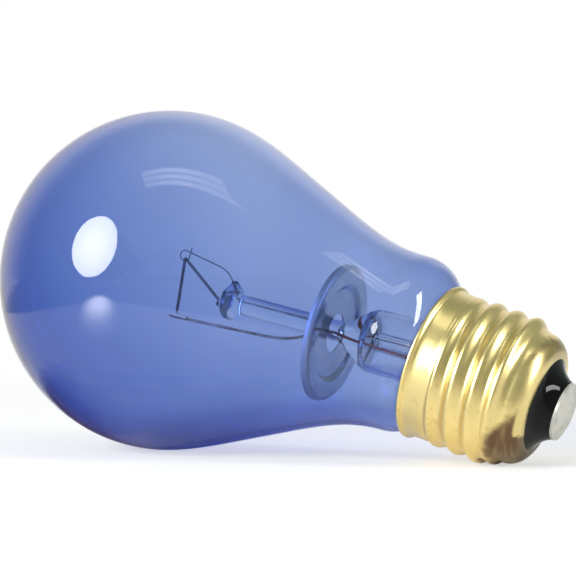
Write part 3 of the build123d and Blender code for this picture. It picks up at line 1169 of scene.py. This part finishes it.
@dataclass
class Wires(LampPart):
    """Leads, support wire and coiled filament, where a pair is a near and a far value."""

    lead_stub: float = 0.8
    lead_straight: float = 3.6
    straight_rise: Pair = (-0.5, 0.0)
    elbow_run: float = 6.4
    elbow_rise: Pair = (-3.2, -1.2)
    elbow_side: float = 4.6
    lead_bends: tuple[float, ...] = (1.0, 5.5, 0.3, 0.3)
    tip_reach: float = 5.7
    tip_side: float = 8.6
    tip_rise: Pair = (-3.9, -2.4)
    hook_rise: float = 0.42
    hook_length: float = 3.4
    seal_wire_d: float = 0.4
    seal_wire_end: float = 42.5
    splay: float = 0.6
    outer_splay: float = 1.6
    outer_lead_d: float = 0.45
    outer_lead_reach: float = 57.0
    outer_bends: Pair = (1.2, 2.0)
    weld_depth: float = 14.2
    weld_side: float = 11.94
    weld_run: float = 6.0
    contact_lead_end: float = 25.0
    support_d: float = 0.22
    support_reach: float = 12.65
    support_root: float = 3.4
    support_rise: float = 4.9
    support_bend: float = 4.0
    loop_reach: float = 2.0
    loop_rise: float = 5.4
    loop_r: float = 0.92
    loop_lift: float = 0.42
    loop_angle: float = 280.0
    spike: float = 1.7
    coil_d: float = 0.58
    coil_wire_d: float = 0.11
    coil_pitch: float = 0.17
    coil_steps: int = 10
    tail_share: float = 0.09

    def stem_point(self, reach: float, rise: float, side: float) -> Vector:
        """Return a place in the stem's axis frame, with the near side positive."""
        return Vector((reach, -side, rise))

    def cap_point(self, depth: float, side: float) -> Vector:
        """Return a place beside the cap's axis, in the stem's axis frame."""
        return self.axes.stem.of(self.axes.cap.point(depth, 0.0, side))

    def build_lead(self, side: Side) -> None:
        """Build an inner lead with its end folded over the filament.

        Args:
            side: Side of the lead.
        """
        half = side * self.sizes.lead_spacing / 2
        start = self.sizes.press_reach
        tip, tip_rise = side * self.tip_side, side.pick(self.tip_rise)
        fold = tip_rise + self.hook_rise
        corners = [
            self.stem_point(start - self.lead_stub, 0.0, half),
            self.stem_point(start - self.lead_straight, side.pick(self.straight_rise), half),
            self.stem_point(start - self.elbow_run, side.pick(self.elbow_rise), side * self.elbow_side),
            self.stem_point(self.tip_reach, tip_rise, tip),
            self.stem_point(self.tip_reach, fold, tip),
            self.stem_point(self.tip_reach + self.hook_length, fold, tip),
        ]
        name = side.name.lower()
        lead = draw_wire(f"{name}_lead", rounded(corners, self.lead_bends), self.sizes.lead_d)
        hand_over(lead, self.axes.stem, f"inner_lead_{name}", self.finishes.nickel)

    def build_seal_wire(self, side: Side) -> None:
        """Build a reddish wire that passes through the pressed glass.

        Args:
            side: Side of the wire.
        """
        half = side * self.sizes.lead_spacing / 2
        start = self.sizes.press_reach - self.lead_stub
        reaches = [start + (self.seal_wire_end - start) * step / 6 for step in range(7)]
        drop = self.splay * side / (self.seal_wire_end - start)
        route = [self.stem_point(reach, -drop * (reach - start), half) for reach in reaches]
        name = side.name.lower()
        wire = draw_wire(f"{name}_seal_wire", route, self.seal_wire_d)
        hand_over(wire, self.axes.stem, f"seal_wire_{name}", self.finishes.copper)

    def build_outer_lead(self, name: str, node: str, side: Side, end: list[Vector]) -> None:
        """Build a lead that runs on from a seal wire.

        Args:
            name: Name of the piece.
            node: Solid that it stands for.
            side: Side of the seal wire.
            end: Last two corners of the lead.
        """
        half = side * self.sizes.lead_spacing / 2
        corners = [
            self.stem_point(self.seal_wire_end, -side * self.splay, half),
            self.stem_point(self.outer_lead_reach, -side * self.splay * self.outer_splay, half),
        ]
        lead = draw_wire(name, rounded(corners + end, self.outer_bends), self.outer_lead_d)
        hand_over(lead, self.axes.stem, node, self.finishes.copper)

    def build_outer_leads(self) -> None:
        """Build the leads that run on to the shell and to the contact."""
        sides = (self.weld_side - self.weld_run, self.weld_side)
        weld = [self.cap_point(self.weld_depth, side) for side in sides]
        depths = (self.sizes.nose_depth, self.contact_lead_end)
        middle = [self.cap_point(depth, 0.0) for depth in depths]
        self.build_outer_lead("lead_to_shell", "shell_lead", Side.NEAR, weld)
        self.build_outer_lead("lead_to_contact", "contact_lead", Side.FAR, middle)

    def build_support(self) -> None:
        """Build the support wire with its pigtail round the middle of the filament."""
        top = self.loop_rise + self.loop_r + self.loop_lift
        corners = [
            self.stem_point(self.support_reach, self.support_root, 0.0),
            self.stem_point(self.support_reach, self.support_rise, 0.0),
            self.stem_point(self.loop_reach, top, 0.0),
        ]
        run = (corners[2] - corners[1]).normalized()
        up = Vector((run.z, 0.0, -run.x))
        centre = corners[2] - up * self.loop_r
        route = rounded(corners, (self.support_bend,))
        for step in range(1, 25):
            angle = math.radians(self.loop_angle * step / 24)
            route.append(centre + up * self.loop_r * math.cos(angle) + run * self.loop_r * math.sin(angle))
        route.append(route[-1] + (route[-1] - route[-2]).normalized() * self.spike)
        wire = draw_wire("pigtail_support", route, self.support_d)
        hand_over(wire, self.axes.stem, "support_wire", self.finishes.tungsten)

    def coil(self, name: str, start: Vector, end: Vector) -> Piece:
        """Wind a straight stretch of the filament.

        Args:
            name: Name of the piece.
            start: Start of the stretch.
            end: End of the stretch.

        Returns:
            The coil in the stem's axis frame.
        """
        run = end - start
        turns = round(run.length / self.coil_pitch)
        chain = draw_chain(name, [Vector(((self.coil_d - self.coil_wire_d) / 2, 0.0, 0.0))])
        bpy.ops.object.mode_set(mode="OBJECT")
        steps = self.coil_steps
        apply_modifier(
            chain, "SCREW", axis="Z", angle=math.tau, screw_offset=run.length / turns, iterations=turns,
            steps=steps, render_steps=steps, use_smooth_shade=True,
        )
        wound = thicken(chain, self.coil_wire_d, 0)
        fix_place(wound, Matrix.Translation(start) @ run.to_track_quat("Z", "Y").to_matrix().to_4x4())
        return wound

    def build_filament(self) -> None:
        """Build the filament: two coiled legs over the pigtail, with straight tails in the folded leads."""
        reach = self.tip_reach + self.hook_length / 3
        middle = self.stem_point(self.loop_reach, self.loop_rise, 0.0)
        pieces = []
        for side in Side:
            name = side.name.lower()
            hook = self.stem_point(reach, side.pick(self.tip_rise) + self.hook_rise / 2, side * self.tip_side)
            foot = hook.lerp(middle, self.tail_share)
            pieces.append(self.coil(f"coil_{name}", foot, middle))
            pieces.append(draw_wire(f"tail_{name}", [hook, foot], self.coil_wire_d * 2, 1))
        filament = pieces[0]
        select_only(filament)
        for piece in pieces:
            piece.select_set(True)
        bpy.ops.object.join()
        filament.name = "coiled_filament"
        hand_over(filament, self.axes.stem, "filament", self.finishes.tungsten)

    def build(self) -> None:
        """Build all the wires."""
        for build_one in (self.build_lead, self.build_seal_wire):
            for side in Side:
                build_one(side)
        self.build_outer_leads()
        self.build_support()
        self.build_filament()


@dataclass
class ScrewCap(LampPart):
    """Brass shell with its rolled thread, black glass insulator and solder contact."""

    lip_r: float = 13.45
    lip_bead: float = 0.42
    collar_r: float = 12.8
    collar_start: float = 2.0
    collar_length: float = 4.4
    collar_taper: float = 0.05
    root_r: float = 12.26
    shell_wall: float = 0.3
    thread_pitch: float = 25.4 / 7
    thread_height: float = 0.84
    thread_depth: float = 4.2
    thread_rise: Pair = (3.9, 5.6)
    thread_fade: Pair = (15.6, 17.2)
    fade_depth: float = 15.1
    nose_round: float = 3.4
    hollow: float = 0.42
    insulator_bore: float = 1.0
    contact_edge: float = 0.45
    contact_dome: float = 1.1
    contact_segments: int = 96
    segments: int = 240

    def outline(self) -> Outline:
        """Return the outside of the shell without its thread.

        Returns:
            The points of the outside.
        """
        nose, bead = self.sizes.nose_depth, self.lip_bead
        points = arc((bead, self.lip_r - bead), bead, 180.0, 20.0, 14)
        points += [(0.95, 12.98), (1.15, 12.87), (1.5, 12.81), (self.collar_start, self.collar_r)]
        stretches = (
            ((self.collar_length, self.collar_r - self.collar_taper), 20),
            ((self.collar_length + self.thread_height, self.root_r), 10),
            ((self.fade_depth, self.root_r), 100),
        )
        for end, steps in stretches:
            points += divided(points[-1], end, steps) + [end]
        points += divided(points[-1], (nose, self.sizes.nose_r), 20)
        return points + arc((nose, self.sizes.edge_r), self.nose_round, 90.0, 0.0, 16)

    def threaded(self, place_on: Vector) -> Vector:
        """Push a place of the shell out to its thread, which fades at both ends.

        Args:
            place_on: Place on the shell.

        Returns:
            The place on the thread.
        """
        depth = place_on.x
        angle = math.atan2(-place_on.y, place_on.z)
        turn_share = (depth - self.thread_depth) / self.thread_pitch - angle / math.tau
        ridge = 0.5 + 0.5 * math.cos(math.tau * turn_share)
        radius = math.hypot(place_on.y, place_on.z)
        root = min(radius, self.root_r)
        shown = blend(depth, *self.thread_rise) * (1.0 - blend(depth, *self.thread_fade))
        share = 1.0 + (root + self.thread_height * ridge - radius) * shown / radius
        return Vector((depth, place_on.y * share, place_on.z * share))

    def build_shell(self) -> None:
        """Build the brass shell."""
        shell = turn("brass_shell", self.outline(), self.segments)
        reshape(shell, self.threaded)
        apply_modifier(shell, "SOLIDIFY", thickness=self.shell_wall, offset=-1.0, use_even_offset=True)
        hand_over(shell, self.axes.cap, "screw_shell", self.finishes.brass)

    def build_insulator(self) -> None:
        """Build the black glass insulator with its hollow flank."""
        sizes, bore = self.sizes, self.insulator_bore
        edge = Vector((sizes.edge_depth, sizes.edge_r))
        end = Vector((sizes.contact_depth, sizes.contact_r))
        across = Vector((end.y - edge.y, edge.x - end.x)).normalized()
        back = sizes.nose_depth + (self.nose_round - self.shell_wall) * math.sqrt(0.5)
        outline = [(back, bore), (back, sizes.edge_r + 1.6)]
        outline += [(sizes.edge_depth - 0.5, sizes.edge_r + 0.45)]
        outline += [(sizes.edge_depth - self.shell_wall, sizes.edge_r - 0.02)]
        for step in range(17):
            share = step / 16
            point = edge.lerp(end, share) + across * self.hollow * 4.0 * share * (1.0 - share)
            outline.append((point.x, point.y))
        outline += [(sizes.contact_depth, bore), (back, bore)]
        insulator = turn("black_insulator", outline, self.segments)
        hand_over(insulator, self.axes.cap, "insulator", self.finishes.black_glass)

    def build_contact(self) -> None:
        """Build the domed solder contact."""
        radius, start = self.sizes.contact_r, self.sizes.contact_depth
        outline = [(start, 0.0), (start, radius)]
        for step in range(25):
            share = step / 24
            dome = self.contact_dome * (1.0 - (1.0 - share) ** 2)
            outline.append((start + self.contact_edge + dome, radius * (1.0 - share)))
        contact = turn("solder_contact", outline, self.contact_segments)
        hand_over(contact, self.axes.cap, "contact", self.finishes.solder)

    def dress_cement(self, cement: Piece) -> None:
        """Dress the hidden cement, whose solid stays as it is.

        Args:
            cement: Solid of the cement.
        """
        cement.data.materials.clear()
        cement.data.materials.append(self.finishes.cement.material())
        LOG.info("base_cement keeps its solid")

    def build(self) -> None:
        """Build the cap's pieces."""
        self.build_shell()
        self.build_insulator()
        self.build_contact()


class Aim(Enum):
    """Ways in which a studio light faces."""

    AT_LAMP = "at the lamp"
    STRAIGHT_DOWN = "straight down"
    STRAIGHT_UP = "straight up"


class Panel(Enum):
    """Outlines of a light's panel, each with the share of its box that it fills."""

    RECTANGLE = 1.0
    ELLIPSE = math.pi / 4


@dataclass(frozen=True)
class StudioLight:
    """Soft light with a panel that is brightest in its middle.

    Attributes:
        name: Name of the light.
        away: Place of the light as seen from the globe's centre.
        width: Width of its panel.
        length: Length of its panel.
        brightness: Brightness of the panel, where 1 is white paper.
        aim: Way in which it faces.
        heading: Turn of a panel that faces straight down or up.
        panel: Outline of the panel.
        edge: Brightness of its edge against its middle.
    """

    name: str
    away: Triple
    width: float
    length: float
    brightness: float
    aim: Aim = Aim.AT_LAMP
    heading: float = 0.0
    panel: Panel = Panel.RECTANGLE
    edge: float = 1.0

    def build(self, target: Vector) -> None:
        """Set the light up.

        Args:
            target: The globe's centre.
        """
        away = Vector(self.away)
        bpy.ops.object.light_add(type="AREA", location=target + away)
        lamp = bpy.context.active_object
        lamp.name = self.name
        if self.aim is Aim.AT_LAMP:
            lamp.rotation_euler = away.to_track_quat("Z", "Y").to_euler()
        else:
            tip = math.pi if self.aim is Aim.STRAIGHT_UP else 0.0
            lamp.rotation_euler = (tip, 0.0, math.radians(self.heading))
        lamp.data.shape = self.panel.name
        lamp.data.size = self.width
        lamp.data.size_y = self.length
        lamp.data.energy = self.brightness * math.pi * self.width * self.length * self.panel.value
        lamp.visible_camera = False
        lamp.visible_transmission = False
        self.soften(lamp.data)
        LOG.info("light %s", self.name)

    def soften(self, lamp: bpy.types.AreaLight) -> None:
        """Let the panel's brightness fall from its middle to its edge.

        Args:
            lamp: Light of the panel.
        """
        lamp.use_nodes = True
        nodes = NodeTree(lamp.node_tree)
        spot = nodes.add("ShaderNodeNewGeometry").outputs["Parametric"]
        off = nodes.measure("DISTANCE", spot, (0.5, 0.5, 0.0))
        glow = nodes.add("ShaderNodeEmission", {"Strength": nodes.span(off, 0.1, 0.5, 1.0, self.edge)})
        nodes.add("ShaderNodeOutputLight", {"Surface": glow.outputs[0]})


@dataclass(frozen=True)
class PaintedShadeZone:
    """Round zone of painted shadow on the floor, which only reflections in the glass and the brass see.

    Attributes:
        middle: Middle of the zone.
        reach: Radii between which the zone ends.
        tone: Colour of the painted shadow.
    """

    middle: Triple
    reach: Pair
    tone: Colour


@dataclass(frozen=True)
class SheetEdge:
    """Straight edge of the white sheet on the floor, beyond which the glass and the brass see the room.

    Attributes:
        across: Direction across the edge.
        off: Distance of the edge.
        soft: Half of the width over which it changes.
    """

    across: Triple
    off: float
    soft: float


@dataclass
class Studio:
    """White floor and background, soft lights and the camera."""

    axes: LampAxes
    floor_size: float = 12.0
    floor_colour: Colour = grey(0.85)
    floor_shade: float = 0.45
    shade_reach: Pair = (0.08, 0.28)
    mirror_reach: Pair = (0.05, 0.16)
    front_reach: Pair = (0.0, 0.2)
    edges: tuple[SheetEdge, ...] = (
        SheetEdge((-0.86, -0.51, 0.0), 0.15, 0.006),
        SheetEdge((0.62, -0.785, 0.0), 0.1, 0.004),
    )
    # Painted shadows on the floor: one under the globe and one in front of the cap, seen only in reflections.
    painted_shade_zones: tuple[PaintedShadeZone, ...] = (
        PaintedShadeZone((-0.045, -0.006, 0.0), (0.01, 0.028), colour(0.11, 0.07, 0.1)),
        PaintedShadeZone((0.1, -0.07, 0.0), (0.03, 0.08), colour(0.4, 0.38, 0.32)),
    )
    painted_shade_share: float = 0.9
    room_dark: Colour = colour(0.33, 0.38, 0.34)
    ceiling: Colour = colour(0.45, 0.47, 0.52)
    white: Colour = grey(1.0)
    tube_places: Triple = (-0.095, 0.0, 0.095)
    camera_place: Triple = (0.157117, -0.338663, 0.036258)
    camera_heading: float = 24.6
    camera_drop: float = 1.0
    lens: float = 134.4
    shift: Pair = (-0.0119, -0.0078)

    def build_world(self) -> None:
        """Paint the room: a white wall behind the lamp, dark elsewhere, and all white to the eye."""
        world = bpy.data.worlds.new("room")
        bpy.context.scene.world = world
        world.use_nodes = True
        nodes = NodeTree(world.node_tree)
        direction = nodes.add("ShaderNodeTexCoord").outputs["Generated"]
        height = nodes.parts(direction)["Z"]
        heading = math.radians(self.camera_heading)
        facing = nodes.measure("DOT_PRODUCT", direction, (-math.sin(heading), math.cos(heading), 0.0))
        aside = nodes.measure("DOT_PRODUCT", direction, (math.cos(heading), math.sin(heading), 0.0))
        behind = nodes.product(nodes.span(facing, 0.3, 0.75), nodes.fade(aside, 0.4, 0.65))
        wall = nodes.product(behind, nodes.fade(height, 0.5, 0.85))
        mirrored = nodes.mix(wall, self.room_dark, self.white)
        through = nodes.mix(nodes.span(height, 0.5, 0.9), self.white, self.ceiling)
        path = nodes.add("ShaderNodeLightPath").outputs
        plain = nodes.math("LESS_THAN", path["Glossy Depth"], 0.5)
        deep = nodes.math("GREATER_THAN", path["Transmission Depth"], 4.5)
        glass = nodes.product(path["Is Transmission Ray"], nodes.math("MAXIMUM", plain, deep))
        seen = nodes.mix(path["Is Camera Ray"], nodes.mix(glass, mirrored, through), self.white)
        background = nodes.add("ShaderNodeBackground", {"Color": seen, "Strength": 1.0})
        nodes.add("ShaderNodeOutputWorld", {"Surface": background.outputs[0]})

    def paint_floor(self, nodes: NodeTree) -> Socket:
        """Paint the floor's surface, with painted shadows that only reflections see.

        Args:
            nodes: Tree of the floor's paint.

        Returns:
            The surface.
        """
        path = nodes.add("ShaderNodeLightPath").outputs
        spot = nodes.add("ShaderNodeTexCoord").outputs["Object"]
        off = nodes.measure("LENGTH", spot)
        eye = nodes.product(path["Is Camera Ray"], nodes.fade(off, *self.shade_reach, self.floor_shade))
        mirror = nodes.product(path["Is Glossy Ray"], nodes.fade(off, *self.mirror_reach))
        back = nodes.math("SUBTRACT", path["Is Glossy Ray"], path["Is Transmission Ray"])
        share = nodes.math("MAXIMUM", path["Is Diffuse Ray"], nodes.math("MAXIMUM", eye, mirror))
        lit = nodes.add("ShaderNodeBsdfDiffuse", {"Color": self.floor_colour}).outputs[0]
        surface = nodes.layer(share, nodes.glow(self.white), lit)
        beyond = 0.0
        for edge in self.edges:
            past = nodes.measure("DOT_PRODUCT", spot, edge.across)
            shown = nodes.span(past, edge.off - edge.soft, edge.off + edge.soft)
            beyond = nodes.math("MAXIMUM", beyond, shown)
        front = nodes.product(nodes.fade(nodes.parts(spot)["Y"], *self.front_reach), back)
        surface = nodes.layer(nodes.product(beyond, front), surface, nodes.glow(self.room_dark))
        # Painted shadows, which only reflections see.
        for zone in self.painted_shade_zones:
            away = nodes.measure("DISTANCE", spot, zone.middle)
            painted_shade = nodes.product(nodes.fade(away, *zone.reach, self.painted_shade_share), back)
            surface = nodes.layer(painted_shade, surface, nodes.glow(zone.tone))
        return surface

    def build_floor(self) -> None:
        """Lay the white floor, which keeps the lamp's shadow and is white to the eye further off."""
        bpy.ops.object.select_all(action="DESELECT")
        bpy.ops.mesh.primitive_plane_add(size=self.floor_size)
        floor = bpy.context.active_object
        floor.name = "floor"
        paint = bpy.data.materials.new("white_floor")
        paint.use_nodes = True
        nodes = NodeTree(paint.node_tree)
        nodes.output(self.paint_floor(nodes))
        floor.data.materials.append(paint)
        LOG.info("floor")

    def build_lights(self) -> None:
        """Set up the key, the tubes overhead, the panel at the cap's side and the one on the floor."""
        up, down, oval = Aim.STRAIGHT_UP, Aim.STRAIGHT_DOWN, Panel.ELLIPSE
        lights = [StudioLight("key", (-0.241, -0.509, 0.208), 0.34, 0.39, 20.0, panel=oval, edge=0.75)]
        for number, across in enumerate(self.tube_places):
            spot = (0.195 + 0.524 * across, -0.249 - 0.852 * across, 1.0)
            lights.append(StudioLight(f"tube_{number}", spot, 0.64, 0.084, 3.2, down, 31.6, edge=0.5))
        lights += [
            StudioLight("side", (0.75, 0.03, 0.26), 0.16, 0.5, 16.0),
            StudioLight("glare", (-0.0377, -0.135, -0.028), 0.054, 0.17, 9.0, up, -18.0, oval, 0.05),
        ]
        for light in lights:
            light.build(self.axes.glass.origin)

    def build_camera(self) -> None:
        """Set the camera up at the photograph's viewing angle."""
        turned = (math.radians(90.0 - self.camera_drop), 0.0, math.radians(self.camera_heading))
        bpy.ops.object.camera_add(location=self.camera_place, rotation=turned)
        camera = bpy.context.active_object
        camera.name = "camera"
        camera.data.lens = self.lens
        camera.data.sensor_width = 36.0
        camera.data.shift_x, camera.data.shift_y = self.shift
        camera.data.clip_start = 0.01
        bpy.context.scene.camera = camera

    def build(self) -> None:
        """Build the studio."""
        self.build_world()
        self.build_floor()
        self.build_lights()
        self.build_camera()
        bpy.context.scene.view_settings.view_transform = "Standard"


def main() -> None:
    """Build the lamp round its solids, and the studio round the lamp."""
    logging.basicConfig(level=logging.INFO, format="%(name)s: %(message)s")
    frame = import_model()
    sizes = LampSizes()
    axes = LampAxes.from_frame(frame["record"], sizes)
    shared = (axes, sizes, Finishes.on(axes))
    for kind in (BlownBulb, Stem, HeatDisc, Wires):
        kind(*shared).build()
    cap = ScrewCap(*shared)
    cap.build()
    cap.dress_cement(frame["nodes"]["base_cement"])
    Studio(axes).build()


if __name__ == "__main__":
    main()
